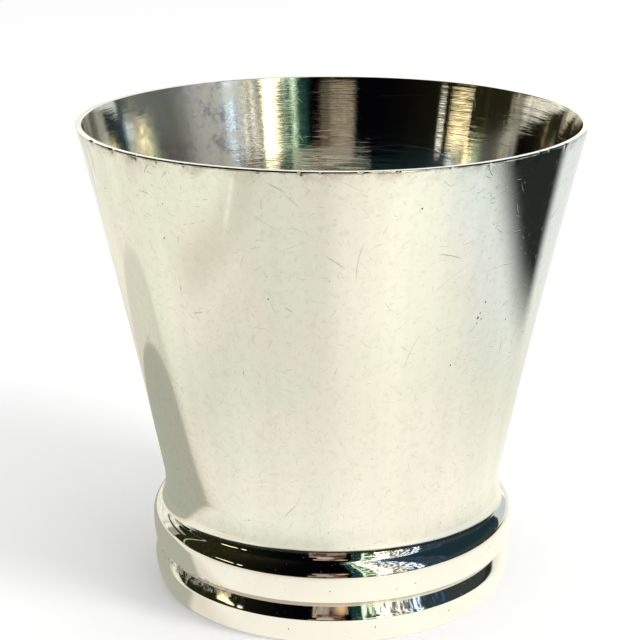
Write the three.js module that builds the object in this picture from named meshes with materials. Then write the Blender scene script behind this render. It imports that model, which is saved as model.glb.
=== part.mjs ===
// Bar jigger: a small measuring cup, silver plate over brass, on a foot of two turned beads.
//
// Every piece is turned or spun, so each one is a profile of (radius, height) points revolved about
// the Z axis. Pieces that are soldered together share the same profile points, so they meet face to
// face with nothing between them. Millimetres, +Z up, origin on the table under the middle of the foot.

import * as THREE from 'three';

// ---- Driving dimensions ----------------------------------------------------------------------

const FACETS = 64; // sides of every revolved piece

// The cup: a thin spun cone that flares very slightly, with its rim cut square.
const HEIGHT = 51.9;
const RIM_RADIUS = 27.0;
const NECK_RADIUS = 18.5; // where the cone runs into the foot
const NECK_HEIGHT = 11.1;
const WALL = 0.65; // measured level, across the rim
const FLARE = 0.25; // how far the flank is hollowed at half its height
const RIM_BREAK = 0.08; // the broken edge of the cut rim
const CUP_END = 9.4; // the cone's lower end, seated inside the collar
const FLOOR_TOP = 12.0;
const FLOOR_THICKNESS = 0.8;

// The foot: an upper bead (the collar) and a lower bead (the ring), with a groove between them.
const BEAD_RADIUS = 20.19;
const BEAD_HEIGHT = 7.46; // where the upper bead is widest
const BEAD_SHOULDER = 8.45; // how high the upper bead's side runs before it rounds over
const TURN = [19.235, 9.238]; // where the bead's round shoulder gives way to the hollow neck
const TURN_SLOPE = 50; // degrees by which the surface leans in there
const TURN_REACH = [0.45, 0.3]; // how far below and above the turn that lean is felt
const NECK_TOP = 13.17; // where the hollow neck has become the cone
const NECK_REACH = 1.91; // how far below that the cone's direction is still felt
const GROOVE_TOP = 4.95;
const GROOVE_BOTTOM = 4.7;
const GROOVE_RADIUS = 19.35;
const GROOVE_LIP_RADIUS = 19.98; // the upper bead's edge over the groove
const GROOVE_LIP_ROUND = 0.14;
const RING_RADIUS = 20.08;
const RING_HEIGHT = 2.9; // where the lower bead is widest
const RING_SHOULDER = 3.03;
const RING_TURN = [20.0, 3.25]; // the lower bead's upper edge, which the side rounds over to meet
const RING_TUCK = 1.08; // how far the lower bead draws in from there to the face it stands on

// Inside the foot: the ring's spigot enters the collar, and a plate closes the underside.
const FOOT_BORE = 17.2;
const SPIGOT_RADIUS = 18.9;
const SPIGOT_TOP = 6.2;
const PLATE_RADIUS = 18.2;
const PLATE_BOTTOM = 0.6; // the plate is let in, so the jigger stands on the ring alone
const PLATE_THICKNESS = 0.9;
const BALLAST_RADIUS = 16.6;
const BALLAST_THICKNESS = 5.5;
const BALLAST_CHAMFER = 0.6;
const FILLET = 0.45; // leg of the hidden solder fillets
const MENISCUS = 0.13; // how far the solder in the groove sinks between the beads

// ---- Materials -------------------------------------------------------------------------------

function metal(color, roughness) {
  return new THREE.MeshStandardMaterial({ color, roughness, metalness: 1.0 });
}

const satinSilver = metal(0xd9d8cf, 0.32);
const brightSilver = metal(0xdfded6, 0.08);
const tarnishedSolder = metal(0x8a7a58, 0.45);
const dullBrass = metal(0xb39a5e, 0.4);
const greyIron = metal(0x5c5c5a, 0.7);

// ---- Profile helpers: every profile runs anticlockwise, out along the bottom and up the outside ---

function doubleBend(start, leaving, arriving, end, steps) {
  const curve = new THREE.CubicBezierCurve(
    new THREE.Vector2(...start),
    new THREE.Vector2(...leaving),
    new THREE.Vector2(...arriving),
    new THREE.Vector2(...end),
  );
  return curve.getPoints(steps).map((point) => [point.x, point.y]);
}

// A quarter of an ellipse that stands on the table, from its lowest point out to its widest.
function tuckedCorner(radius, height, tuck, steps) {
  const points = [];
  for (let step = 0; step <= steps; step += 1) {
    const angle = (Math.PI / 2) * (step / steps);
    points.push([
      radius - tuck * (1 - Math.sin(angle)),
      height * (1 - Math.cos(angle)),
    ]);
  }
  return points;
}

// The cone's outer face: a straight flank from the neck to the rim, hollowed by FLARE in between.
// Below the neck it runs on straight to its end inside the collar.
function skinRadius(height) {
  const t = (height - NECK_HEIGHT) / (HEIGHT - NECK_HEIGHT);
  const straight = THREE.MathUtils.lerp(NECK_RADIUS, RIM_RADIUS, t);
  const hollow = t > 0 ? 4 * FLARE * t * (1 - t) : 0;
  return straight - hollow;
}

function skin(height) {
  return [skinRadius(height), height];
}

function lining(height) {
  return [skinRadius(height) - WALL, height];
}

function revolve(name, material, profile) {
  const points = profile.map(([radius, height]) => new THREE.Vector2(radius, height));
  const onAxis = points[0].x === 0 && points[points.length - 1].x === 0;
  if (!onAxis) {
    points.push(points[0].clone());
  }
  const geometry = new THREE.LatheGeometry(points, FACETS);
  geometry.rotateX(Math.PI / 2);
  const mesh = new THREE.Mesh(geometry, material);
  mesh.name = name;
  return mesh;
}

// ---- The cup ---------------------------------------------------------------------------------

const FLANK_STEPS = 7;
const FLOOR_BOTTOM = FLOOR_TOP - FLOOR_THICKNESS;

function flankHeights(from) {
  const top = HEIGHT - RIM_BREAK;
  const heights = [];
  for (let step = 1; step <= FLANK_STEPS; step += 1) {
    heights.push(THREE.MathUtils.lerp(from, top, step / FLANK_STEPS));
  }
  return heights;
}

function cupWall() {
  const [, collarTop] = neckHollow()[COLLAR_STEPS];
  const outside = [CUP_END, collarTop, NECK_TOP, ...flankHeights(NECK_TOP)].map(skin);
  const rim = [
    [RIM_RADIUS - RIM_BREAK, HEIGHT],
    [RIM_RADIUS - WALL + RIM_BREAK, HEIGHT],
  ];
  const inside = [CUP_END, FLOOR_BOTTOM - FILLET, FLOOR_BOTTOM, FLOOR_TOP, ...flankHeights(FLOOR_TOP)];
  return revolve('cup_wall', satinSilver, [...outside, ...rim, ...inside.reverse().map(lining)]);
}

function cupFloor() {
  return revolve('cup_floor', satinSilver, [
    [0, FLOOR_BOTTOM],
    lining(FLOOR_BOTTOM),
    lining(FLOOR_TOP),
    [0, FLOOR_TOP],
  ]);
}

// The fillet that holds the floor, run in from below where it doesn't show.
function floorSolder() {
  const [cornerRadius] = lining(FLOOR_BOTTOM);
  return revolve('floor_solder', tarnishedSolder, [
    lining(FLOOR_BOTTOM - FILLET),
    lining(FLOOR_BOTTOM),
    [cornerRadius - FILLET, FLOOR_BOTTOM],
  ]);
}

// ---- The foot --------------------------------------------------------------------------------

const NECK_STEPS = 8;
const COLLAR_STEPS = 4; // the collar's metal makes this much of the hollow, and solder the rest

// A point on the straight line through the turn, measured down it.
function besideTurn(distance) {
  const slope = THREE.MathUtils.degToRad(TURN_SLOPE);
  return [TURN[0] + distance * Math.sin(slope), TURN[1] - distance * Math.cos(slope)];
}

// The hollow neck, from the turn up to the cone, which it meets without an edge.
function neckHollow() {
  const lean = Math.atan2(skinRadius(NECK_TOP) - NECK_RADIUS, NECK_TOP - NECK_HEIGHT);
  const arriving = [
    skinRadius(NECK_TOP) - NECK_REACH * Math.sin(lean),
    NECK_TOP - NECK_REACH * Math.cos(lean),
  ];
  return doubleBend(TURN, besideTurn(-TURN_REACH[1]), arriving, skin(NECK_TOP), NECK_STEPS);
}

// The upper bead: a heavy turned ring. Its taper bore is driven up the cone until it binds, the
// cone's end stands on the ledge inside it, and its lower rebate takes the ring's spigot.
function footCollar() {
  const [seatRadius] = skin(CUP_END);
  const shoulder = doubleBend(
    [BEAD_RADIUS, BEAD_HEIGHT],
    [BEAD_RADIUS, BEAD_SHOULDER],
    besideTurn(TURN_REACH[0]),
    TURN,
    7,
  );
  const hollow = neckHollow().slice(1, COLLAR_STEPS + 1);
  const [, collarTop] = hollow[hollow.length - 1];
  return revolve('foot_collar', brightSilver, [
    [FOOT_BORE, SPIGOT_TOP],
    [SPIGOT_RADIUS, SPIGOT_TOP],
    [SPIGOT_RADIUS, GROOVE_TOP],
    [GROOVE_LIP_RADIUS - GROOVE_LIP_ROUND, GROOVE_TOP],
    [GROOVE_LIP_RADIUS, GROOVE_TOP + GROOVE_LIP_ROUND],
    ...shoulder,
    ...hollow,
    skin(collarTop),
    [seatRadius, CUP_END],
    [FOOT_BORE, CUP_END],
  ]);
}

// The solder that was run in between cone and collar and wiped to a long hollow fillet.
function collarSolder() {
  const hollow = neckHollow().slice(COLLAR_STEPS);
  const [, collarTop] = hollow[0];
  return revolve('collar_solder', satinSilver, [skin(collarTop), ...hollow]);
}

// The lower bead, with the spigot above it and the rebate for the base plate under it.
function footRing() {
  const corner = tuckedCorner(RING_RADIUS, RING_HEIGHT, RING_TUCK, 6);
  const shoulder = doubleBend(
    [RING_RADIUS, RING_HEIGHT],
    [RING_RADIUS, RING_SHOULDER],
    RING_TURN,
    [GROOVE_RADIUS, GROOVE_BOTTOM],
    6,
  );
  const ledgeHeight = PLATE_BOTTOM + PLATE_THICKNESS;
  return revolve('foot_ring', brightSilver, [
    [PLATE_RADIUS, 0],
    ...corner,
    ...shoulder.slice(1),
    [SPIGOT_RADIUS, GROOVE_BOTTOM],
    [SPIGOT_RADIUS, SPIGOT_TOP],
    [FOOT_BORE, SPIGOT_TOP],
    [FOOT_BORE, ledgeHeight],
    [PLATE_RADIUS, ledgeHeight],
    [PLATE_RADIUS, PLATE_BOTTOM],
    [PLATE_RADIUS, PLATE_BOTTOM - FILLET],
  ]);
}

// The solder that fills the seam at the bottom of the groove.
function seamSolder() {
  return revolve('seam_solder', tarnishedSolder, [
    [SPIGOT_RADIUS, GROOVE_BOTTOM],
    [GROOVE_RADIUS, GROOVE_BOTTOM],
    [GROOVE_RADIUS - MENISCUS, (GROOVE_BOTTOM + GROOVE_TOP) / 2],
    [GROOVE_RADIUS, GROOVE_TOP],
    [SPIGOT_RADIUS, GROOVE_TOP],
  ]);
}

// ---- Under and inside the foot ----------------------------------------------------------------

function basePlate() {
  const top = PLATE_BOTTOM + PLATE_THICKNESS;
  return revolve('base_plate', dullBrass, [
    [0, PLATE_BOTTOM],
    [PLATE_RADIUS - FILLET, PLATE_BOTTOM],
    [PLATE_RADIUS, PLATE_BOTTOM],
    [PLATE_RADIUS, top],
    [FOOT_BORE, top],
    [BALLAST_RADIUS - BALLAST_CHAMFER, top],
    [0, top],
  ]);
}

function baseSolder() {
  return revolve('base_solder', tarnishedSolder, [
    [PLATE_RADIUS - FILLET, PLATE_BOTTOM],
    [PLATE_RADIUS, PLATE_BOTTOM - FILLET],
    [PLATE_RADIUS, PLATE_BOTTOM],
  ]);
}

// A disc of cheap heavy metal that lies on the base plate and keeps the narrow foot steady.
function ballastDisc() {
  const bottom = PLATE_BOTTOM + PLATE_THICKNESS;
  const top = bottom + BALLAST_THICKNESS;
  const chamferRadius = BALLAST_RADIUS - BALLAST_CHAMFER;
  return revolve('ballast_disc', greyIron, [
    [0, bottom],
    [chamferRadius, bottom],
    [BALLAST_RADIUS, bottom + BALLAST_CHAMFER],
    [BALLAST_RADIUS, top - BALLAST_CHAMFER],
    [chamferRadius, top],
    [0, top],
  ]);
}

// ---- The assembly ----------------------------------------------------------------------------

const cup = new THREE.Group();
cup.add(cupWall(), cupFloor(), floorSolder());

const foot = new THREE.Group();
foot.add(footCollar(), collarSolder(), footRing(), seamSolder());
foot.add(basePlate(), baseSolder(), ballastDisc());

const jigger = new THREE.Group();
jigger.add(cup, foot);

export default jigger;
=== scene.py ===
"""Bar jigger: silver plate, worn by years of use, on a white table under one soft window.

Every visible piece is turned or spun, so each is a fine profile of (radius, height) points revolved
about Z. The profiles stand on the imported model's own dimensions. Millimetres inside, metres outside.
"""

import math

import bpy
import numpy as np
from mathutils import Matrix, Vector, noise


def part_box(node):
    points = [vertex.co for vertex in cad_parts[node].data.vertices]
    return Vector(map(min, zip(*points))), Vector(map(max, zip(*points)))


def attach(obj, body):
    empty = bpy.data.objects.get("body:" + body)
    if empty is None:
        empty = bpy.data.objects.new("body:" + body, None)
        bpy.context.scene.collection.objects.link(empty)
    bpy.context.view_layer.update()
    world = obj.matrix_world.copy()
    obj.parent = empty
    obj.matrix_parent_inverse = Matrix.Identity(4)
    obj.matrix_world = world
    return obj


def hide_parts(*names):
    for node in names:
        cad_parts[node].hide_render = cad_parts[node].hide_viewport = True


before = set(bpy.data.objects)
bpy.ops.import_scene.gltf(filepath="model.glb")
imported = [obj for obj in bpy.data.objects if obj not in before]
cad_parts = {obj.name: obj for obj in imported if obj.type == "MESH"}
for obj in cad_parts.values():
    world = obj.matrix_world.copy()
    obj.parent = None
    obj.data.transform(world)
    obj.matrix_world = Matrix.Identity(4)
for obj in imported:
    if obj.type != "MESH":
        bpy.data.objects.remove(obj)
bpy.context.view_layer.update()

MM = 0.001


def span(node):
    """(lowest, highest, radius) of a CAD node in millimetres."""
    low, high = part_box(node)
    return low.z / MM, high.z / MM, high.x / MM


# ---- Driving dimensions ----------------------------------------------------------------------

CUP_END, HEIGHT, RIM_RADIUS = span("cup_wall")
FLOOR_BOTTOM, FLOOR_TOP, _ = span("cup_floor")
GROOVE_TOP, COLLAR_TOP, BEAD_RADIUS = span("foot_collar")
_, SPIGOT_TOP, RING_RADIUS = span("foot_ring")
GROOVE_BOTTOM, _, GROOVE_RADIUS = span("seam_solder")
_, NECK_TOP, _ = span("collar_solder")
PLATE_BOTTOM, PLATE_TOP, PLATE_RADIUS = span("base_plate")
FILLET_BOTTOM, _, _ = span("base_solder")

RIM_BREAK = 0.08
WALL = 0.65
NECK_RADIUS = 18.5
NECK_HEIGHT = 11.1
FLARE = 0.25
BEAD_HEIGHT = 7.46
BEAD_SHOULDER = 8.45
TURN = (19.235, 9.238)
TURN_SLOPE = 50.0
TURN_REACH = (0.45, 0.3)
NECK_REACH = 1.91
NECK_STEPS = 30
LIP_RADIUS = 19.98
LIP_ROUND = 0.14
RING_HEIGHT = 2.9
RING_SHOULDER = 3.03
RING_TURN = (20.0, 3.25)
RING_TUCK = 1.08
FOOT_BORE = 17.2
SPIGOT_RADIUS = 18.9
MENISCUS = 0.13
DISH = 0.12
UNEVEN = 0.006

MEAN_RADIUS = 23.0  # the cone is laid flat at this radius for its scratches

FLANK_SLOPE = (RIM_RADIUS - NECK_RADIUS) / (HEIGHT - RIM_BREAK - NECK_HEIGHT)


# ---- Profiles --------------------------------------------------------------------------------


def bend(start, control, end, steps):
    """Points along a quadratic curve."""
    t = np.linspace(0, 1, steps + 1)[:, None]
    a, b, c = (np.array(p, float) for p in (start, control, end))
    return [tuple(p) for p in (1 - t) ** 2 * a + 2 * t * (1 - t) * b + t * t * c]


def double_bend(start, leaving, arriving, end, steps):
    """Points along a cubic curve."""
    t = np.linspace(0, 1, steps + 1)[:, None]
    a, b, c, d = (np.array(p, float) for p in (start, leaving, arriving, end))
    path = (1 - t) ** 3 * a + 3 * t * (1 - t) ** 2 * b + 3 * t * t * (1 - t) * c + t**3 * d
    return [tuple(p) for p in path]


def arc(centre, size, start, end, steps):
    """Points along an elliptical arc, angles in degrees from +radius towards +height."""
    angles = np.radians(np.linspace(start, end, steps + 1))
    return [(centre[0] + size[0] * math.cos(a), centre[1] + size[1] * math.sin(a)) for a in angles]


def skin_radius(height):
    """The cone's outer face, slightly hollowed between the neck and the rim."""
    t = (height - NECK_HEIGHT) / (HEIGHT - RIM_BREAK - NECK_HEIGHT)
    hollow = 4 * FLARE * t * (1 - t) if t > 0 else 0
    return NECK_RADIUS + FLANK_SLOPE * (height - NECK_HEIGHT) - hollow


def skin(height):
    """A point on the cone's outer face."""
    return skin_radius(height), height


def lining(height):
    """A point on the cone's inner face."""
    return skin_radius(height) - WALL, height


def beside_turn(distance):
    """A point on the straight line through the turn, measured down it."""
    slope = math.radians(TURN_SLOPE)
    return TURN[0] + distance * math.sin(slope), TURN[1] - distance * math.cos(slope)


def neck_hollow():
    """The hollow neck, from the turn up to the cone. The collar has its first half, solder the rest."""
    end = skin_radius(NECK_TOP)
    lean = math.atan2(end - NECK_RADIUS, NECK_TOP - NECK_HEIGHT)
    arriving = (end - NECK_REACH * math.sin(lean), NECK_TOP - NECK_REACH * math.cos(lean))
    return double_bend(TURN, beside_turn(-TURN_REACH[1]), arriving, skin(NECK_TOP), 2 * NECK_STEPS)


# ---- Turning a profile into a mesh ---------------------------------------------------------------


def turn(name, profile, angles, materials, paint=None, shape=None):
    """Revolves a profile. A profile that starts and ends on the axis is closed by its own ends,
    and any other is a ring. paint(segment) picks the material, and shape moves the points."""
    capped = profile[0][0] == 0 and profile[-1][0] == 0
    body = profile[1:-1] if capped else profile
    r = np.array([p[0] for p in body])[:, None]
    z = np.array([p[1] for p in body])[:, None] + np.zeros(len(angles))
    a = np.array(angles)[None, :] + np.zeros((len(body), 1))
    r = r + np.zeros(len(angles))
    if shape is not None:
        r, z = shape(r, z, a)
    points = np.stack([r * np.sin(a), -r * np.cos(a), z], axis=-1).reshape(-1, 3) * MM
    rows, columns = len(body), len(angles)
    faces, marks = [], []
    joins = rows - 1 if capped else rows
    for i in range(joins):
        k = (i + 1) % rows
        for j in range(columns):
            m = (j + 1) % columns
            faces.append((i * columns + j, i * columns + m, k * columns + m, k * columns + j))
            marks.append(i)
    verts = [tuple(p) for p in points]
    if capped:
        bottom, top = len(verts), len(verts) + 1
        verts += [(0, 0, profile[0][1] * MM), (0, 0, profile[-1][1] * MM)]
        last = (rows - 1) * columns
        for j in range(columns):
            m = (j + 1) % columns
            faces.append((bottom, m, j))
            faces.append((top, last + j, last + m))
            marks += [0, rows - 1]
    mesh = bpy.data.meshes.new(name)
    mesh.from_pydata(verts, [], faces)
    for material in materials:
        mesh.materials.append(material)
    if paint is not None:
        mesh.polygons.foreach_set("material_index", [paint(mark) for mark in marks])
    mesh.shade_smooth()
    mesh.set_sharp_from_angle(angle=math.radians(38))
    mesh.update()
    piece = bpy.data.objects.new(name, mesh)
    bpy.context.scene.collection.objects.link(piece)
    return piece


def settle(piece, node):
    """The piece stands for a CAD node."""
    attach(piece, "root")
    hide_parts(node)


def even(count):
    """count equal steps round the circle, in radians."""
    return [2 * math.pi * i / count for i in range(count)]


# ---- Node trees as expressions -----------------------------------------------------------------


class Graph:
    """A node tree written as expressions: each method adds a node and returns its output."""

    def __init__(self, owner):
        owner.use_nodes = True
        self.tree = owner.node_tree
        self.tree.nodes.clear()

    def node(self, kind, inputs=(), **settings):
        made = self.tree.nodes.new(kind)
        for key, value in settings.items():
            setattr(made, key, value)
        for key, value in dict(inputs).items():
            self.put(made.inputs[key], value)
        return made

    def put(self, socket, value):
        if isinstance(value, bpy.types.NodeSocket):
            self.tree.links.new(value, socket)
        elif hasattr(socket.default_value, "__len__") and len(socket.default_value) == 4:
            socket.default_value = (*value, 1) if len(value) == 3 else value
        else:
            socket.default_value = value

    def math(self, operation, a, b=0.0, c=0.0):
        made = self.tree.nodes.new("ShaderNodeMath")
        made.operation = operation
        for socket, value in zip(made.inputs, (a, b, c)):
            self.put(socket, value)
        return made.outputs[0]

    def add(self, a, b):
        return self.math("ADD", a, b)

    def times(self, a, b):
        return self.math("MULTIPLY", a, b)

    def more(self, a, b):
        return self.math("MAXIMUM", a, b)

    def less(self, a, b):
        return self.math("MINIMUM", a, b)

    def minus(self, a, b):
        return self.math("SUBTRACT", a, b)

    def ramp(self, value, low, high, start=0.0, end=1.0):
        """start below low, end above high, and a smooth step between."""
        made = self.node("ShaderNodeMapRange", interpolation_type="SMOOTHSTEP", clamp=True)
        for key, item in enumerate((value, low, high, start, end)):
            self.put(made.inputs[key], item)
        return made.outputs[0]

    def fall(self, value, low, high):
        """1 below low, 0 above high, and a smooth step between."""
        return self.ramp(value, low, high, 1.0, 0.0)

    def band(self, value, low, high, soft):
        """1 between low and high, fading to 0 over soft on either side."""
        rise = self.ramp(self.minus(value, low), -soft, soft)
        fall = self.fall(self.minus(value, high), -soft, soft)
        return self.times(rise, fall)

    def mix(self, factor, a, b, blend="MIX"):
        made = self.tree.nodes.new("ShaderNodeMix")
        made.data_type = "RGBA"
        made.blend_type = blend
        for key, value in ((0, factor), (6, a), (7, b)):
            self.put(made.inputs[key], value)
        return made.outputs[2]

    def vector(self, operation, a, b=(0, 0, 0)):
        made = self.tree.nodes.new("ShaderNodeVectorMath")
        made.operation = operation
        self.put(made.inputs[0], a)
        if operation == "SCALE":
            self.put(made.inputs["Scale"], b)
        else:
            self.put(made.inputs[1], b)
        return made.outputs["Value"] if operation in ("LENGTH", "DOT_PRODUCT") else made.outputs[0]

    def split(self, vector):
        return self.node("ShaderNodeSeparateXYZ", {0: vector}).outputs

    def join(self, x, y, z):
        return self.node("ShaderNodeCombineXYZ", {0: x, 1: y, 2: z}).outputs[0]

    def place(self, vector, scale=(1, 1, 1), turn_by=(0, 0, 0), shift=(0, 0, 0)):
        radians = tuple(math.radians(t) for t in turn_by)
        inputs = {"Vector": vector, "Scale": scale, "Rotation": radians, "Location": shift}
        return self.node("ShaderNodeMapping", inputs).outputs[0]

    def noise(self, vector, scale, detail=2.0, roughness=0.5, distortion=0.0):
        inputs = {"Vector": vector, "Scale": scale, "Detail": detail, "Roughness": roughness}
        inputs["Distortion"] = distortion
        return self.node("ShaderNodeTexNoise", inputs).outputs[0]

    def bump(self, height, strength, depth_mm, normal=None):
        inputs = {"Height": height, "Strength": strength, "Distance": depth_mm * MM}
        if normal is not None:
            inputs["Normal"] = normal
        return self.node("ShaderNodeBump", inputs).outputs[0]


def here(g):
    """The point on the object, in millimetres."""
    point = g.node("ShaderNodeTexCoord").outputs["Object"]
    return g.vector("SCALE", point, 1 / MM)


def metal(g, colour, roughness, normal, tangent=None, anisotropy=0.0, turned=0.0, clean=1.0):
    """The metal at the end of a material's tree. Where clean is under 1, a dull film covers it."""
    inputs = {"Base Color": colour, "Metallic": clean, "Roughness": roughness, "Normal": normal}
    inputs["Anisotropic"] = anisotropy
    inputs["Anisotropic Rotation"] = turned
    if tangent is not None:
        inputs["Tangent"] = tangent
    shader = g.node("ShaderNodeBsdfPrincipled", inputs)
    g.node("ShaderNodeOutputMaterial", {0: shader.outputs[0]})


def around(g):
    """The tangent that runs round the Z axis."""
    return g.node("ShaderNodeTangent", direction_type="RADIAL", axis="Z").outputs[0]


def unrolled(g, point):
    """The surface laid flat, in millimetres: round the Z axis, then up it."""
    x, y, z = g.split(point)
    angle = g.math("ARCTAN2", x, g.times(y, -1.0))
    return g.join(g.times(angle, MEAN_RADIUS), z, 0.0)


def stroke(g, across, up, tilt, half_length, half_width, bow=0.0):
    """1 on a short line through the origin of (across, up), tilted by tilt radians, else 0."""
    c, s = g.math("COSINE", tilt), g.math("SINE", tilt)
    along = g.add(g.times(across, c), g.times(up, s))
    aside = g.minus(g.times(up, c), g.times(across, s))
    aside = g.add(aside, g.times(g.times(along, along), bow))
    thin = g.fall(g.math("ABSOLUTE", aside), 0.0, half_width)
    reach = g.math("DIVIDE", g.math("ABSOLUTE", along), half_length)
    return g.times(thin, g.fall(reach, 0.4, 1.0))


def scatter(g, flat, cell, half_length, half_width, share, tilts=(0.0, math.pi), shift=(0, 0)):
    """Short scratches strewn over the laid-out surface: at most one to a cell, share of them kept.
    Two layers need different shifts so that their cells don't coincide."""
    if any(shift):
        flat = g.vector("ADD", flat, (*shift, 0))
    inputs = {"Vector": flat, "Scale": 1 / cell}
    cells = g.node("ShaderNodeTexVoronoi", inputs, voronoi_dimensions="2D")
    across, up, _ = g.split(g.vector("SUBTRACT", flat, cells.outputs["Position"]))
    first, second, third = g.split(cells.outputs["Color"])
    tilt = g.add(tilts[0], g.times(first, tilts[1] - tilts[0]))
    length = g.times(g.add(0.3, g.times(second, 0.7)), half_length)
    bow = g.times(g.minus(second, 0.5), 0.6 / half_length)
    line = stroke(g, across, up, tilt, length, half_width, bow)
    return g.times(line, g.ramp(third, 1.0 - share, 1.0 - share * 0.4))


def dots(g, flat, cell, radius, share):
    """Small round pits strewn over the laid-out surface."""
    inputs = {"Vector": flat, "Scale": 1 / cell}
    cells = g.node("ShaderNodeTexVoronoi", inputs, voronoi_dimensions="2D")
    away = g.vector("LENGTH", g.vector("SUBTRACT", flat, cells.outputs["Position"]))
    pick, size, _ = g.split(cells.outputs["Color"])
    edge = g.times(radius, g.add(0.5, size))
    disc = g.fall(g.math("DIVIDE", away, edge), 0.6, 1.1)
    return g.times(disc, g.ramp(pick, 1 - share, 1.02 - share))


# ---- Materials -------------------------------------------------------------------------------

# Single scratches on the cone: (angle from the front, height mm, length mm, tilt, strength)
SCRATCHES = (
    (-11.1, 50.2, 1.9, -32, 0.8), (-7.9, 48.9, 2.3, -49, 0.5), (0.7, 42.8, 2.6, -38, 0.8),
    (5.5, 42.7, 5.0, 82, 0.6), (27.0, 42.7, 3.2, -18, 0.9), (49.7, 31.1, 2.4, -84, 0.7),
    (52.0, 37.0, 2.6, 80, 0.6), (-12.8, 14.8, 3.0, 43, 0.8), (-10.0, 37.7, 1.0, -30, 1.2),
    (-38.0, 38.5, 0.8, 88, 1.3), (-23.0, 30.3, 0.6, 86, 1.1), (-33.9, 36.2, 1.5, 12, 0.9),
    (19.5, 32.8, 4.6, 69, 0.5), (37.0, 34.2, 1.3, 40, 0.6), (118.0, 33.0, 4.0, 25, 0.9),
    (163.0, 41.0, 2.5, -60, 1.0), (-120.0, 24.0, 3.5, 75, 0.8),
)

# Pits through the plate: (angle from the front, height mm, radius mm)
PITS = (
    (38.6, 35.8, 0.10), (38.1, 35.3, 0.17), (39.3, 35.1, 0.09), (38.0, 34.7, 0.10), (39.7, 36.9, 0.12),
    (18.7, 47.9, 0.10), (31.7, 30.6, 0.12), (-61.0, 47.0, 0.12), (150.0, 22.0, 0.14), (-141.0, 38.0, 0.13),
)


def outside_silver():
    """The cone's outside: worn plate with clouds of thin tarnish and years of small scratches."""
    material = bpy.data.materials.new("outside_silver")
    g = Graph(material)
    point = here(g)
    flat = unrolled(g, point)
    around_mm, height, _ = g.split(flat)
    cloud = g.noise(g.place(point, (1, 1, 0.55)), 0.055, 3.0, 0.55)
    tint = g.noise(g.place(point, (1, 1, 0.6), shift=(31, 7, 5)), 0.11, 3.0, 0.55)
    colour = g.mix(g.ramp(tint, 0.36, 0.64), (0.90, 0.925, 0.835), (0.955, 0.91, 0.855))
    colour = g.mix(g.times(g.ramp(cloud, 0.42, 0.68), 0.7), colour, (0.87, 0.86, 0.775))
    # Painted reflection: faint upright streaks, a little darker, stand in for streaks of the table seen in
    # the metal.
    reflected_streaks = g.noise(g.place(flat, (1, 0.03, 1)), 0.9, 4.0, 0.6)
    colour = g.mix(g.ramp(reflected_streaks, 0.35, 0.7, 0.0, 0.16), colour, (0.80, 0.79, 0.71))
    mottle = g.noise(point, 1.3, 5.0, 0.7)
    colour = g.mix(g.ramp(mottle, 0.46, 0.74, 0.0, 0.5), colour, (0.74, 0.72, 0.62))
    # Tarnish left just under the rim, where the cloth slips off.
    stain_height = g.add(HEIGHT - 1.5, g.times(g.noise(flat, 0.5, 4.0, 0.7), 1.4))
    patchy = g.ramp(g.noise(point, 0.5, 4.0, 0.7), 0.38, 0.66)
    stain = g.times(g.ramp(g.minus(height, stain_height), -0.9, 0.7), patchy)
    stain = g.times(stain, g.fall(height, HEIGHT - 0.24, HEIGHT - 0.14))
    colour = g.mix(g.times(stain, 0.5), colour, (0.40, 0.30, 0.24))
    thread = g.band(height, HEIGHT - 0.34, HEIGHT - 0.18, 0.05)
    thread = g.times(thread, g.ramp(g.noise(g.place(flat, (1, 0.1, 1)), 0.8, 4.0, 0.7), 0.36, 0.6))
    colour = g.mix(g.times(thread, 0.6), colour, (0.20, 0.15, 0.12))
    lines = g.times(scatter(g, flat, 0.9, 0.42, 0.055, 0.6), 0.5)
    lines = g.more(lines, g.times(scatter(g, flat, 2.1, 0.9, 0.06, 0.6, shift=(13.1, 5.7)), 0.55))
    lines = g.more(lines, g.times(scatter(g, flat, 7.0, 3.0, 0.055, 0.5, shift=(4.3, 41.9)), 0.4))
    for degrees, middle, length, tilt, strength in SCRATCHES:
        across = g.minus(around_mm, math.radians(degrees) * MEAN_RADIUS)
        up = g.minus(height, middle)
        mark = stroke(g, across, up, math.radians(tilt), length / 2, 0.085, 0.05)
        lines = g.more(lines, g.times(mark, strength))
    colour = g.mix(g.times(lines, 0.62), colour, (0.26, 0.24, 0.18))
    pits = dots(g, flat, 5.0, 0.07, 0.28)
    for degrees, middle, radius in PITS:
        centre = (math.radians(degrees) * MEAN_RADIUS, middle, 0.0)
        away = g.vector("LENGTH", g.vector("SUBTRACT", flat, centre))
        pits = g.more(pits, g.fall(away, radius * 0.6, radius))
    colour = g.mix(g.times(pits, 0.85), colour, (0.07, 0.06, 0.05))
    roughness = g.add(g.ramp(mottle, 0.35, 0.7, 0.06, 0.11), g.times(lines, 0.15))
    lathe = g.noise(g.place(point, (0.04, 0.04, 1.0)), 2.4, 4.0, 0.7)
    lathe = g.times(lathe, g.ramp(height, NECK_HEIGHT + 1, NECK_HEIGHT + 7, 1.0, 0.12))
    relief = g.minus(g.times(lathe, 0.8), g.add(lines, g.times(pits, 2.0)))
    metal(g, colour, roughness, g.bump(relief, 0.35, 0.02))
    return material


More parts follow.
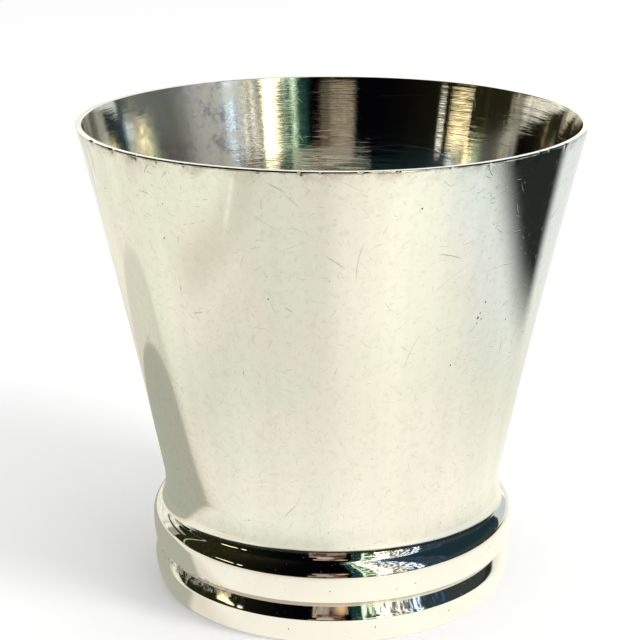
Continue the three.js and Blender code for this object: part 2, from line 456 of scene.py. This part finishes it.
def inside_silver():
    """The cone's lining: polished on the lathe, so the light smears up and down across the lines."""
    material = bpy.data.materials.new("inside_silver")
    g = Graph(material)
    point = here(g)
    flat = unrolled(g, point)
    around_mm, height, _ = g.split(flat)
    rings = g.noise(g.place(point, (0.03, 0.03, 1.0)), 1.7, 4.0, 0.7)
    fine_rings = g.noise(g.place(point, (0.02, 0.02, 1.0)), 9.0, 2.0, 0.6)
    dull = g.noise(point, 0.45, 5.0, 0.7)
    # The wall left of the window's light is the dullest, where the cloth was turned.
    hazed = g.times(g.band(around_mm, -61.5, -46.0, 2.0), g.ramp(dull, 0.36, 0.62))
    colour = g.mix(g.ramp(dull, 0.40, 0.66), (0.90, 0.88, 0.79), (0.80, 0.76, 0.62))
    lines = scatter(g, flat, 9.0, 7.0, 0.10, 0.8, (-0.12, 0.12))
    lines = g.more(lines, scatter(g, flat, 5.0, 3.5, 0.07, 0.8, (-0.2, 0.2), shift=(3.3, 17.0)))
    lines = g.more(lines, g.times(scatter(g, flat, 2.3, 1.1, 0.05, 0.6, shift=(7.1, 3.0)), 0.4))
    # A scuffed belt low on the wall, opposite the front: cloth never reaches it squarely.
    back = g.minus(math.pi * MEAN_RADIUS, g.math("ABSOLUTE", around_mm))
    belt = g.band(g.times(back, g.math("SIGN", around_mm)), -4.4, 4.4, 0.4)
    belt = g.times(belt, g.fall(height, 41.5, 44.2))
    belt = g.times(belt, g.ramp(g.noise(g.place(point, (0.05, 0.05, 1)), 2.6, 3.0, 0.7), 0.42, 0.56))
    roughness = g.add(g.ramp(dull, 0.42, 0.75, 0.055, 0.09), g.times(hazed, 0.16))
    roughness = g.add(roughness, g.add(g.times(lines, 0.12), g.times(belt, 0.40)))
    relief = g.add(g.times(rings, 0.016), g.times(fine_rings, 0.0045))
    relief = g.minus(relief, g.times(lines, 0.004))
    normal = g.bump(relief, 1.0, 1.0)
    worn = g.ramp(dull, 0.34, 0.58, 0.10, 0.34)
    film = g.add(0.10, g.times(g.band(around_mm, -62.0, -55.5, 2.5), worn))
    film = g.times(film, g.band(around_mm, -62.5, -46.0, 1.2))
    clean = g.minus(1.0, film)
    metal(g, colour, roughness, normal, around(g), anisotropy=0.8, turned=0.25, clean=clean)
    return material


def bead_silver():
    """The turned beads: a bright mirror, with brown tarnish kept in the groove."""
    material = bpy.data.materials.new("bead_silver")
    g = Graph(material)
    point = here(g)
    flat = unrolled(g, point)
    around_mm, height, _ = g.split(flat)
    middle = (GROOVE_TOP + GROOVE_BOTTOM) / 2
    off = g.minus(height, middle)
    speckle = g.noise(point, 1.7, 5.0, 0.75)
    tan_zone = g.band(off, -0.46, 0.2, 0.05)
    colour = g.mix(g.times(tan_zone, 0.7), (0.955, 0.935, 0.865), (0.66, 0.56, 0.36))
    # The left of the groove has never been cleaned out.
    reach = g.times(g.band(around_mm, -32.0, -14.0, 3.5), g.ramp(speckle, 0.44, 0.60))
    grime = g.times(reach, g.band(off, -0.95, 0.35, 0.25))
    colour = g.mix(g.times(grime, 0.85), colour, (0.20, 0.14, 0.06))
    pits = g.more(dots(g, flat, 2.6, 0.085, 0.14), g.times(dots(g, flat, 1.1, 0.04, 0.25), 0.6))
    colour = g.mix(g.times(pits, 0.85), colour, (0.06, 0.05, 0.04))
    lathe = g.noise(g.place(point, (0.03, 0.03, 1)), 2.2, 4.0, 0.7)
    lines = scatter(g, flat, 2.4, 1.1, 0.05, 0.35)
    colour = g.mix(g.times(lines, 0.2), colour, (0.45, 0.40, 0.30))
    roughness = g.add(g.times(grime, 0.25), g.times(tan_zone, 0.05))
    roughness = g.add(g.ramp(lathe, 0.3, 0.7, 0.03, 0.06), roughness)
    roughness = g.add(roughness, g.times(lines, 0.12))
    relief = g.minus(g.times(lathe, 0.5), g.add(g.times(pits, 3.0), g.times(lines, 0.5)))
    # Neither the tarnish nor the grime shines.
    clean = g.minus(1.0, g.less(g.add(g.times(tan_zone, 0.8), g.times(grime, 0.8)), 1.0))
    metal(g, colour, roughness, g.bump(relief, 0.35, 0.014), clean=clean)
    return material


def brown_solder():
    """Solder that has never been polished: brown and dull."""
    material = bpy.data.materials.new("brown_solder")
    g = Graph(material)
    point = here(g)
    speckle = g.noise(point, 1.4, 4.0, 0.65)
    colour = g.mix(g.ramp(speckle, 0.35, 0.65), (0.50, 0.40, 0.24), (0.16, 0.11, 0.06))
    roughness = g.ramp(speckle, 0.3, 0.7, 0.35, 0.6)
    metal(g, colour, roughness, g.bump(speckle, 0.5, 0.03))
    return material


def plate_silver():
    """The base plate: turned flat and left dull, scuffed where it has been handled."""
    material = bpy.data.materials.new("plate_silver")
    g = Graph(material)
    point = here(g)
    x, y, _ = g.split(point)
    radius = g.vector("LENGTH", g.join(x, y, 0.0))
    rings = g.noise(g.join(radius, 0.0, 0.0), 4.0, 3.0, 0.7)
    dull = g.noise(point, 0.25, 4.0, 0.6)
    colour = g.mix(g.ramp(dull, 0.38, 0.66), (0.74, 0.71, 0.63), (0.50, 0.43, 0.32))
    roughness = g.add(g.ramp(dull, 0.35, 0.7, 0.26, 0.42), g.ramp(rings, 0.35, 0.7, 0.0, 0.08))
    lines = g.more(scatter(g, point, 3.0, 1.5, 0.07, 0.7), scatter(g, point, 7.5, 4.0, 0.08, 0.7))
    relief = g.minus(rings, lines)
    metal(g, colour, roughness, g.bump(relief, 0.4, 0.02), around(g), anisotropy=0.6, turned=0.25)
    return material


def grey_iron():
    """The weight inside the foot: rough cast iron."""
    material = bpy.data.materials.new("grey_iron")
    g = Graph(material)
    point = here(g)
    grain = g.noise(point, 1.5, 6.0, 0.7)
    rust = g.ramp(g.noise(point, 0.2, 3.0), 0.5, 0.7)
    colour = g.mix(grain, (0.22, 0.22, 0.21), (0.38, 0.37, 0.36))
    colour = g.mix(g.times(rust, 0.5), colour, (0.24, 0.11, 0.05))
    metal(g, colour, g.ramp(grain, 0.3, 0.7, 0.55, 0.8), g.bump(grain, 0.6, 0.15))
    return material


# ---- The pieces ------------------------------------------------------------------------------

ROUND = 384

# Nicks in the rim: (angle from the front in degrees, width in mm, depth in mm)
NICKS = (
    (-62, 0.8, 0.22), (-52.5, 1.1, 0.26), (-44, 0.5, 0.12), (-38, 0.4, 0.10), (-31, 0.6, 0.14),
    (-14.5, 0.8, 0.16), (-6, 0.6, 0.22), (-2, 0.4, 0.10), (6, 0.9, 0.12), (13, 0.5, 0.10),
    (24, 0.4, 0.10), (33, 0.5, 0.12), (41, 0.7, 0.14), (48, 1.0, 0.24), (51.5, 0.9, 0.20),
    (58, 0.6, 0.14), (104, 0.7, 0.12), (139, 0.5, 0.07), (171, 0.9, 0.13),
    (-164, 0.6, 0.09), (-133, 0.8, 0.15), (-101, 0.5, 0.08),
)


def rim_angles():
    """Even steps round the rim, with more of them at each nick."""
    angles = set(round(a, 6) for a in even(ROUND))
    for degrees, width, _ in NICKS:
        reach = width / RIM_RADIUS
        for step in np.linspace(-reach, reach, 13):
            angles.add(round((math.radians(degrees) + step) % (2 * math.pi), 6))
    ordered = sorted(angles)
    kept = [ordered[0]]
    for angle in ordered[1:]:
        if angle - kept[-1] > 0.0009:
            kept.append(angle)
    return kept


def worn_rim(r, z, a):
    """Lowers and dents the top of the wall: slow waves, fine wear on the corner, and the nicks."""
    near = np.clip((z - (HEIGHT - 0.9)) / 0.9, 0, 1) ** 2
    corner = near * np.clip((r - (RIM_RADIUS - 0.32)) / 0.32, 0, 1)
    wave, wear = np.zeros(a.shape[1]), np.zeros(a.shape[1])
    for j, angle in enumerate(a[0]):
        c, s = math.cos(angle), math.sin(angle)
        wave[j] = noise.noise(Vector((1.6 * c, 1.6 * s, 2.0)))
        bites = max(0.0, noise.noise(Vector((22 * c, 22 * s, 7.0))))
        grain = noise.noise(Vector((60 * c, 60 * s, 9.0))) ** 2
        wear[j] = bites + 0.5 * grain
    z = z - near * (0.05 + 0.05 * wave[None, :])
    r = r - corner * 0.06 * wear[None, :]
    for degrees, width, depth in NICKS:
        gap = (a - math.radians(degrees) + math.pi) % (2 * math.pi) - math.pi
        shape = 0.55 * np.clip(1 - (np.abs(gap) * RIM_RADIUS / (width / 2)) ** 2, 0, 1)
        r = r - corner * shape * depth
        z = z - corner * shape * depth * 0.8
    return r, z


def spun_flank(r, z, a):
    """The spinner's slight unevenness: long shallow hollows up the flank, under a fiftieth of a mm."""
    out = np.zeros_like(r)
    for i in range(r.shape[0]):
        level = z[i, 0] * 0.02
        for j in range(r.shape[1]):
            c, s = math.cos(a[i, j]), math.sin(a[i, j])
            out[i, j] = noise.noise(Vector((2.4 * c, 2.4 * s, level)))
    free = np.clip((z - NECK_TOP) / 9.0, 0, 1)
    return r - 0.02 * free * (0.5 + out), z


def make_cup(outside, inside):
    """The spun cone: up the outside, over the worn rim, and down the lining to its small end."""
    heights = list(np.linspace(NECK_TOP, HEIGHT - 1.0, 40))
    heights += [HEIGHT - t for t in (0.75, 0.55, 0.4, 0.3, 0.22)]
    profile = [skin(h) for h in (CUP_END, COLLAR_TOP)] + [skin(h) for h in heights]
    outer = skin_radius(HEIGHT - RIM_BREAK)
    inner = outer - WALL
    worn = (0.13, 0.17)
    profile += arc((outer - worn[0], HEIGHT - worn[1]), worn, 0, 90, 8)
    profile += [(outer - 0.2, HEIGHT), (outer - 0.32, HEIGHT), (outer - 0.45, HEIGHT)]
    profile += arc((inner + 0.1, HEIGHT - 0.1), (0.1, 0.1), 90, 180, 4)
    turned = len(profile) - 3
    down = [HEIGHT - 0.3, HEIGHT - 0.6] + list(np.linspace(HEIGHT - 1.0, FLOOR_TOP, 36))
    down += [FLOOR_BOTTOM, CUP_END]
    profile += [lining(h) for h in down]

    def shape(r, z, a):
        r, z = spun_flank(r, z, a)
        return worn_rim(r, z, a)

    sides = [outside, inside]
    piece = turn("cup", profile, rim_angles(), sides, lambda mark: int(mark >= turned), shape)
    settle(piece, "cup_wall")


def make_cup_floor(inside):
    """The floor, dished very slightly where the spinner's tool rode up the wall."""
    edge = lining(FLOOR_TOP)[0]
    top = [(edge * t, FLOOR_TOP - DISH * (1 - t**8)) for t in np.linspace(1, 0, 30)[:-1]]
    profile = [(0, FLOOR_BOTTOM)] + [(edge * t, FLOOR_BOTTOM) for t in (0.5, 0.99)] + top
    profile.append((0, FLOOR_TOP - DISH))
    settle(turn("cup_bottom", profile, even(ROUND), [inside]), "cup_floor")


def wavy(depth):
    """Slow unevenness in a turned and hand-polished surface."""

    def shape(r, z, a):
        out = np.zeros_like(r)
        for i in range(r.shape[0]):
            for j in range(r.shape[1]):
                c, s = math.cos(a[i, j]), math.sin(a[i, j])
                out[i, j] = noise.noise(Vector((5 * c, 5 * s, z[i, j] * 0.35)))
        return r - depth * (0.5 + out), z

    return shape


def make_collar(silver):
    """The upper bead, from its seat on the spigot round over the shoulder and up into the neck."""
    start = (BEAD_RADIUS, BEAD_HEIGHT)
    shoulder = double_bend(start, (BEAD_RADIUS, BEAD_SHOULDER), beside_turn(TURN_REACH[0]), TURN, 44)
    hollow = neck_hollow()[1 : NECK_STEPS + 1]
    lip = arc((LIP_RADIUS - LIP_ROUND, GROOVE_TOP + LIP_ROUND), (LIP_ROUND, LIP_ROUND), -90, 0, 6)
    side = bend(lip[-1], (BEAD_RADIUS, 5.8), (BEAD_RADIUS, BEAD_HEIGHT), 14)
    profile = [(SPIGOT_RADIUS, SPIGOT_TOP), (SPIGOT_RADIUS, GROOVE_TOP), (GROOVE_RADIUS, GROOVE_TOP)]
    profile += lip + side[1:] + shoulder[1:] + hollow + [skin(COLLAR_TOP), skin(CUP_END)]
    profile += [(FOOT_BORE, CUP_END), (FOOT_BORE, SPIGOT_TOP)]
    piece = turn("upper_bead", profile, even(ROUND), [silver], shape=wavy(UNEVEN))
    settle(piece, "foot_collar")


def make_neck_solder(silver):
    """The long fillet that finishes the hollow neck, wiped as smooth as the cone."""
    profile = [skin(COLLAR_TOP)] + neck_hollow()[NECK_STEPS:]
    settle(turn("neck_solder", profile, even(ROUND), [silver]), "collar_solder")


def make_ring(silver):
    """The lower bead, its spigot and the face it stands on."""
    corner = arc((RING_RADIUS - RING_TUCK, RING_HEIGHT), (RING_TUCK, RING_HEIGHT), -90, 0, 24)
    start, end = (RING_RADIUS, RING_HEIGHT), (GROOVE_RADIUS, GROOVE_BOTTOM)
    shoulder = double_bend(start, (RING_RADIUS, RING_SHOULDER), RING_TURN, end, 40)
    profile = [(PLATE_RADIUS, 0.12)] + [(PLATE_RADIUS + 0.12, 0)] + corner + shoulder[1:]
    profile += [(SPIGOT_RADIUS, GROOVE_BOTTOM), (SPIGOT_RADIUS, SPIGOT_TOP), (FOOT_BORE, SPIGOT_TOP)]
    profile += [(FOOT_BORE, PLATE_TOP), (PLATE_RADIUS, PLATE_TOP)]
    piece = turn("lower_bead", profile, even(ROUND), [silver], shape=wavy(UNEVEN))
    settle(piece, "foot_ring")


def make_seam(solder):
    """The solder in the groove, drawn in a little between the beads."""
    middle = (GROOVE_RADIUS - 2 * MENISCUS, (GROOVE_BOTTOM + GROOVE_TOP) / 2)
    profile = [(SPIGOT_RADIUS, GROOVE_BOTTOM)]
    profile += bend((GROOVE_RADIUS, GROOVE_BOTTOM), middle, (GROOVE_RADIUS, GROOVE_TOP), 6)
    profile += [(SPIGOT_RADIUS, GROOVE_TOP)]
    settle(turn("groove_solder", profile, even(ROUND), [solder]), "seam_solder")


def make_base(silver, solder):
    """The plate let into the underside, and the fillet around it."""
    outer = PLATE_RADIUS - (PLATE_BOTTOM - FILLET_BOTTOM)
    bottom = [(outer * t, PLATE_BOTTOM) for t in np.linspace(0, 1, 16)]
    profile = bottom + [(PLATE_RADIUS, PLATE_BOTTOM), (PLATE_RADIUS, PLATE_TOP), (0, PLATE_TOP)]
    settle(turn("underside", profile, even(192), [silver]), "base_plate")
    corner = (PLATE_RADIUS - 0.1, PLATE_BOTTOM - 0.1)
    fillet = bend((PLATE_RADIUS, FILLET_BOTTOM), corner, (outer, PLATE_BOTTOM), 6)
    profile = [(PLATE_RADIUS, PLATE_BOTTOM)] + fillet[::-1]
    settle(turn("underside_solder", profile, even(192), [solder]), "base_solder")


outside = outside_silver()
inside = inside_silver()
bright = bead_silver()
solder = brown_solder()
make_cup(outside, inside)
make_cup_floor(inside)
make_collar(bright)
make_neck_solder(outside)
make_ring(bright)
make_seam(solder)
make_base(plate_silver(), solder)

for node, material in (("floor_solder", solder), ("ballast_disc", grey_iron())):
    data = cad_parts[node].data
    data.materials.clear()
    data.materials.append(material)


# ---- What the polished metal sees ---------------------------------------------------------------

# Azimuths run from the front towards the right and elevations up from level, in degrees.
LIGHT_AZIMUTH = 60.0  # the main lamp's, and the shadows that the metal sees fall away from it
TABLE_EDGE = 112.0  # the white table ends here in front, and nearer towards the right, in mm
DARK_ROOM = (-126, 125)  # the azimuths between which the room is dark
PANEL_END = 150  # a grey panel stands beside it, up to this azimuth
ONLOOKER_AT = 190.0  # how far in front someone stands, in mm
COAT_AT = 600.0
CARD_AT = 150.0
CARD_TOP = 80.0


def in_millimetres(g):
    """The point in the scene, in millimetres."""
    return g.vector("SCALE", g.node("ShaderNodeNewGeometry").outputs["Position"], 1 / MM)


def compass(g, x, y):
    """The azimuth of a point or direction, in degrees."""
    return g.times(g.math("ARCTAN2", x, g.times(y, -1.0)), 180 / math.pi)


def choose(g, plain, seen):
    """plain for every ray but the ones that left polished metal, which get seen."""
    ray = g.node("ShaderNodeLightPath")
    inputs = {0: ray.outputs["Is Glossy Ray"], 1: plain.outputs[0], 2: seen.outputs[0]}
    return g.node("ShaderNodeMixShader", inputs).outputs[0]


def capsule(g, x, y, start, end, radius, soft):
    """1 inside a capsule that lies along the direction in which the shadows fall."""
    a = math.radians(LIGHT_AZIMUTH)
    along = g.add(g.times(x, -math.sin(a)), g.times(y, math.cos(a)))
    across = g.add(g.times(x, -math.cos(a)), g.times(y, -math.sin(a)))
    past = g.minus(along, g.more(start, g.less(along, end)))
    gap = g.vector("LENGTH", g.join(past, across, 0.0))
    return g.fall(gap, radius - soft, radius + soft)


def floor_seen_in_metal(g):
    """What the polished metal sees of the table: bright near the foot, with the jigger's own shadow."""
    x, y, _ = g.split(in_millimetres(g))
    radius = g.vector("LENGTH", g.join(x, y, 0.0))
    azimuth = compass(g, x, y)
    colour = g.mix(g.ramp(radius, 24, 62), (1.09, 1.06, 0.95), (0.88, 0.865, 0.76))
    colour = g.mix(g.ramp(x, 35, 95), colour, (0.80, 0.865, 0.86))
    # Painted light and shade: a pool of light in front on the right, and darker towards the left.
    lit = g.vector("LENGTH", g.join(g.add(x, -40.0), g.add(y, 66.0), 0.0))
    colour = g.mix(g.fall(lit, 6, 56), colour, (1.10, 1.07, 0.95))
    colour = g.mix(g.times(g.fall(x, -110, -30), 0.5), colour, (0.76, 0.75, 0.63))
    # Soft rays of light and shade that fan out over the table.
    fan = g.noise(g.join(azimuth, g.times(radius, 0.06), 0.0), 0.055, 4.0, 0.6)
    colour = g.mix(1.0, colour, g.ramp(fan, 0.3, 0.7, 0.97, 1.03), "MULTIPLY")
    dimmer = g.times(g.band(x, -54, 0, 9), -0.12)
    colour = g.mix(1.0, colour, g.add(g.add(1.0, dimmer), g.ramp(x, -76, -58, 0.07, 0.0)), "MULTIPLY")
    # Painted shade in a slanted wedge in front on the left, and a painted lighter band further left.
    slant = g.add(x, g.times(y, 0.433))
    shaded_wedge = g.times(g.band(slant, -93, -80, 5), g.fall(y, -34, -10))
    colour = g.mix(g.times(shaded_wedge, 0.5), colour, (0.60, 0.58, 0.47))
    lighter = g.times(g.band(slant, -128, -98, 5), g.fall(y, -34, -10))
    colour = g.mix(g.times(lighter, 0.6), colour, (0.93, 0.91, 0.79))
    glint = g.times(g.band(x, -62.6, -61.0, 0.5), g.band(y, -72, -57, 4))
    colour = g.mix(g.times(glint, 0.7), colour, (1.1, 1.1, 1.0))
    # Two shadows: a long faint one, and the dark one inside it.
    colour = g.mix(g.times(capsule(g, x, y, 20, 76, 26.5, 2.5), 0.55), colour, (0.60, 0.56, 0.47))
    colour = g.mix(capsule(g, x, y, 24, 47, 24.3, 0.9), colour, (0.43, 0.44, 0.37))
    # On the camera's side the table ends, and the dark room begins.
    front = g.band(azimuth, -98, 122, 6)
    out = g.add(radius, g.ramp(azimuth, 45, 112, 0.0, 42.0))
    beyond = g.times(g.ramp(out, TABLE_EDGE - 4, TABLE_EDGE + 26), front)
    return g.mix(beyond, colour, (0.02, 0.024, 0.02))


def make_table():
    """A flat disc. The camera sees plain white with a soft shadow; metal sees the pattern above."""
    count, size = 64, 1.6
    ring = [(size * math.sin(t), size * math.cos(t), 0.0) for t in even(count)]
    mesh = bpy.data.meshes.new("table")
    mesh.from_pydata(ring[::-1], [], [tuple(range(count))])
    material = bpy.data.materials.new("table")
    g = Graph(material)
    plain = g.node("ShaderNodeBsdfDiffuse", {"Color": (0.88, 0.88, 0.88)})
    # To polished metal the table shines by itself, with painted light and painted shadows.
    seen = g.node("ShaderNodeEmission", {"Color": floor_seen_in_metal(g), "Strength": 1.0})
    g.node("ShaderNodeOutputMaterial", {0: choose(g, plain, seen)})
    material.cycles.emission_sampling = "NONE"
    mesh.materials.append(material)
    table = bpy.data.objects.new("table", mesh)
    bpy.context.scene.collection.objects.link(table)


def room(g):
    """The room by compass direction: a white sweep behind, a dark room in front, a window in it."""
    x, y, z = g.split(g.node("ShaderNodeTexCoord").outputs["Generated"])
    azimuth = compass(g, x, y)
    elevation = g.times(g.math("ARCSINE", z), 180 / math.pi)
    flat = g.join(azimuth, elevation, 0.0)
    rough_edge = g.minus(g.noise(flat, 0.30, 4.0, 0.65), 0.5)

    sky = g.mix(g.ramp(elevation, 10, 70), (1.14, 1.12, 1.06), (0.84, 0.82, 0.77))
    # The dark room is overhead and in front, and closes in behind as it rises.
    narrowed = g.times(azimuth, g.minus(1.0, g.times(g.more(elevation, 0.0), 0.004)))
    dark = g.band(g.add(narrowed, g.times(rough_edge, 4.0)), *DARK_ROOM, 1.2)
    walls = g.mix(g.ramp(azimuth, -100, -20), (0.016, 0.016, 0.007), (0.001, 0.001, 0.002))
    walls = g.mix(g.ramp(azimuth, 8, 60), walls, (0.012, 0.032, 0.042))
    low_right = g.times(g.ramp(azimuth, 62, 80), g.fall(elevation, 6, 22))
    walls = g.mix(low_right, walls, (0.036, 0.050, 0.048))
    olive = g.times(g.ramp(rough_edge, 0.0, 0.2), g.fall(azimuth, -85, -60))
    walls = g.mix(olive, walls, (0.05, 0.05, 0.02))
    colour = g.mix(dark, sky, walls)
    panel = g.band(narrowed, DARK_ROOM[1], PANEL_END, 1.5)
    colour = g.mix(g.times(panel, g.fall(elevation, 40, 60)), colour, (0.58, 0.64, 0.65))
    # A thin upright line of light near the left end of the room.
    thread = g.band(g.add(azimuth, g.times(elevation, 0.2)), -101.9, -100.7, 0.4)
    colour = g.mix(g.times(thread, g.band(elevation, 2, 44, 3)), colour, (0.50, 0.50, 0.38))
    # Two low lights far on the left: the lining picks them up, and the beads show short glints.
    low_light = g.add(azimuth, g.times(rough_edge, 1.5))
    spread = g.fall(elevation, 10.4, 12.4)
    gold = g.band(g.add(low_light, 68.5), g.times(spread, -6.2), g.times(spread, 6.2), 0.9)
    gold = g.times(gold, g.band(elevation, 8.6, 12.2, 0.3))
    colour = g.mix(gold, colour, (1.9, 1.6, 0.95))
    pale_light = g.times(g.band(low_light, -59.6, -56.2, 0.5), g.band(elevation, 8.6, 11.6, 0.5))
    colour = g.mix(pale_light, colour, (1.8, 1.75, 1.5))
    # The window: bright sky broken by leaves, bluer to the right.
    leaf = g.noise(g.place(flat, (1.0, 0.42, 1.0)), 0.42, 3.0, 0.65)
    # Each pane: left and right azimuth, how much of it leaves hide, its shade and its light.
    panes = (
        (12.0, 19.0, 0.60, (0.010, 0.036, 0.034), (0.20, 0.50, 0.38)),
        (19.0, 27.0, 0.52, (0.03, 0.09, 0.07), (1.10, 1.30, 0.95)),
        (27.0, 37.5, 0.47, (0.10, 0.11, 0.09), (3.60, 3.25, 2.40)),
        (37.5, 49.0, 0.51, (0.13, 0.15, 0.15), (1.50, 1.45, 1.30)),
        (49.0, 57.5, 0.50, (0.05, 0.08, 0.14), (1.45, 1.80, 2.10)),
        (57.5, 76.0, 0.56, (0.030, 0.045, 0.055), (0.05, 0.11, 0.26)),
    )
    ragged = g.minus(g.noise(g.place(flat, (1.0, 0.5, 1.0)), 0.5, 4.0, 0.7), 0.5)
    for low, high, threshold, shade, glass in panes:
        view = g.mix(g.ramp(leaf, threshold - 0.02, threshold + 0.06), shade, glass)
        pane = g.times(dark, g.band(g.add(azimuth, g.times(ragged, 7.0)), low, high, 0.7))
        pane = g.times(pane, g.band(g.add(elevation, g.times(ragged, 20.0)), -4, 78, 2.5))
        colour = g.mix(pane, colour, view)
    frame_light = g.times(dark, g.band(azimuth, 18.6, 20.0, 0.4))
    return g.mix(g.times(frame_light, g.band(elevation, -4, 60, 3)), colour, (0.85, 1.15, 0.85))


def make_room():
    """White to the camera, an even soft light on the table, and the room in the metal."""
    world = bpy.data.worlds.new("room")
    bpy.context.scene.world = world
    g = Graph(world)
    soft = g.node("ShaderNodeBackground", {"Color": (1.0, 1.0, 1.0), "Strength": 1.04})
    seen = g.node("ShaderNodeBackground", {"Color": room(g), "Strength": 1.0})
    g.node("ShaderNodeOutputWorld", {0: choose(g, soft, seen)})
    world.cycles.sampling_method = "NONE"


LAMP_DISTANCE = 0.7  # metres


def make_lamp(name, azimuth, elevation, size, energy):
    """A round soft lamp that lights the table but is not seen in the metal. size is in metres."""
    data = bpy.data.lights.new(name, "AREA")
    data.shape = "DISK"
    data.size = size
    data.energy = energy
    lamp = bpy.data.objects.new(name, data)
    a, e = math.radians(azimuth), math.radians(elevation)
    towards = Vector((math.sin(a) * math.cos(e), -math.cos(a) * math.cos(e), math.sin(e)))
    lamp.location = towards * LAMP_DISTANCE
    lamp.rotation_mode = "QUATERNION"
    lamp.rotation_quaternion = towards.to_track_quat("Z", "Y")
    lamp.visible_glossy = False
    bpy.context.scene.collection.objects.link(lamp)


def hang(name, verts, faces, paint):
    """Hangs sheets that shine by themselves and that only polished metal can see. paint(g, point)
    gives their colour."""
    mesh = bpy.data.meshes.new(name)
    mesh.from_pydata(verts, [], faces)
    material = bpy.data.materials.new(name)
    g = Graph(material)
    seen = g.node("ShaderNodeEmission", {"Color": paint(g, in_millimetres(g)), "Strength": 1.0})
    g.node("ShaderNodeOutputMaterial", {0: seen.outputs[0]})
    material.cycles.emission_sampling = "NONE"
    mesh.materials.append(material)
    sheet = bpy.data.objects.new(name, mesh)
    sheet.visible_camera = False
    sheet.visible_diffuse = False
    sheet.visible_shadow = False
    bpy.context.scene.collection.objects.link(sheet)


def flat_sheets(distance, sizes):
    """Upright sheets in front of the jigger, each (left, right, bottom, top) in mm."""
    verts, faces = [], []
    for left, right, bottom, top in sizes:
        start = len(verts)
        corners = ((left, bottom), (right, bottom), (right, top), (left, top))
        verts += [(across * MM, -distance * MM, up * MM) for across, up in corners]
        faces.append(tuple(range(start, start + 4)))
    return verts, faces


def curved_sheets(sizes):
    """Upright sheets bent round the axis, each (distance, azimuths, bottom, top, fray of the top)."""
    verts, faces = [], []
    for distance, azimuths, bottom, top, fray in sizes:
        start = len(verts)
        for a in np.radians(azimuths):
            x, y = distance * math.sin(a) * MM, -distance * math.cos(a) * MM
            edge = top + fray * noise.noise(Vector((14 * a, 0, 0)))
            verts += [(x, y, bottom * MM), (x, y, edge * MM)]
        for low in range(start, len(verts) - 2, 2):
            faces.append((low, low + 2, low + 3, low + 1))
    return verts, faces


def paint_onlooker(g, point):
    """Brown folds with a pale patch and one golden spot, dark above."""
    x, _, z = g.split(point)
    folds = g.noise(g.place(point, (1.0, 1.0, 1.6)), 0.055, 4.0, 0.65)
    colour = g.mix(g.ramp(folds, 0.42, 0.60), (0.07, 0.03, 0.02), (0.34, 0.24, 0.19))
    pale = g.times(g.band(z, 28, 52, 3), g.band(x, -30, 2, 4))
    colour = g.mix(g.times(pale, 0.8), colour, (0.55, 0.48, 0.42))
    spot = g.vector("LENGTH", g.join(g.times(g.add(x, -19.0), 0.8), g.add(z, -70.0), 0.0))
    colour = g.mix(g.fall(spot, 3, 13), colour, (0.75, 0.50, 0.24))
    return g.mix(g.ramp(z, 74, 98), colour, (0.02, 0.012, 0.008))


def paint_card(g, point):
    """Pale with a grey end and a streak. The part that only the lining would see is left dark."""
    x, y, z = g.split(point)
    azimuth = compass(g, x, y)
    colour = g.mix(g.ramp(azimuth, -117, -114), (0.98, 0.96, 0.87), (0.40, 0.38, 0.32))
    colour = g.mix(g.times(g.band(azimuth, -122.5, -120.5, 0.4), 0.6), colour, (0.60, 0.58, 0.50))
    marks = g.noise(g.join(azimuth, g.times(z, 0.5), 0.0), 0.16, 4.0, 0.7)
    colour = g.mix(1.0, colour, g.ramp(marks, 0.35, 0.65, 0.72, 1.05), "MULTIPLY")
    upper = g.add(61.0, g.times(g.add(azimuth, 124.0), 0.54))
    gap = g.times(g.band(z, 54.0, upper, 1.5), g.ramp(azimuth, -140, -130))
    return g.mix(g.times(gap, 0.97), colour, (0.025, 0.025, 0.012))


def paint_coat(g, point):
    """Brown cloth, darker on the right."""
    x, _, _ = g.split(point)
    folds = g.noise(g.place(point, (1.0, 1.0, 0.25)), 0.06, 4.0, 0.6)
    colour = g.mix(g.ramp(x, 0, 8), (0.37, 0.31, 0.235), (0.15, 0.135, 0.10))
    return g.mix(1.0, colour, g.ramp(folds, 0.35, 0.65, 0.82, 1.14), "MULTIPLY")


def hang_sheets():
    """What stands about the room, nearer than its walls."""
    # Someone in brown by the table's end.
    sizes = ((-46, 28, 2, 34), (-30, 24, 34, 62), (-6, 32, 62, 92))
    hang("onlooker", *flat_sheets(ONLOOKER_AT, sizes), paint_onlooker)
    # A low pale board behind on the left.
    card = (CARD_AT, range(-178, -105, 2), 1.0, CARD_TOP, 6.0)
    hang("side_card", *curved_sheets([card]), paint_card)
    # A brown coat on the far side of the room, seen only in the lining.
    hang("far_coat", *flat_sheets(COAT_AT, [(-126, 60, 168, 250)]), paint_coat)


# ---- The camera ------------------------------------------------------------------------------


def make_camera():
    data = bpy.data.cameras.new("camera")
    data.sensor_width = 36.0
    data.lens = 94.04
    data.shift_x = -0.0189
    data.shift_y = 0.0008
    data.clip_start = 0.01
    data.clip_end = 10.0
    camera = bpy.data.objects.new("camera", data)
    camera.location = (0.0, -0.1754, 0.0847)
    camera.rotation_euler = (math.radians(90 - 17.55), 0.0, 0.0)
    bpy.context.scene.collection.objects.link(camera)
    bpy.context.scene.camera = camera


make_table()
make_room()
make_lamp("window_light", LIGHT_AZIMUTH, 35, 0.24, 2.2)
make_lamp("second_light", 34, 44, 0.26, 0.35)
hang_sheets()
make_camera()

settings = bpy.context.scene.view_settings
settings.view_transform = "Standard"
settings.look = "None"
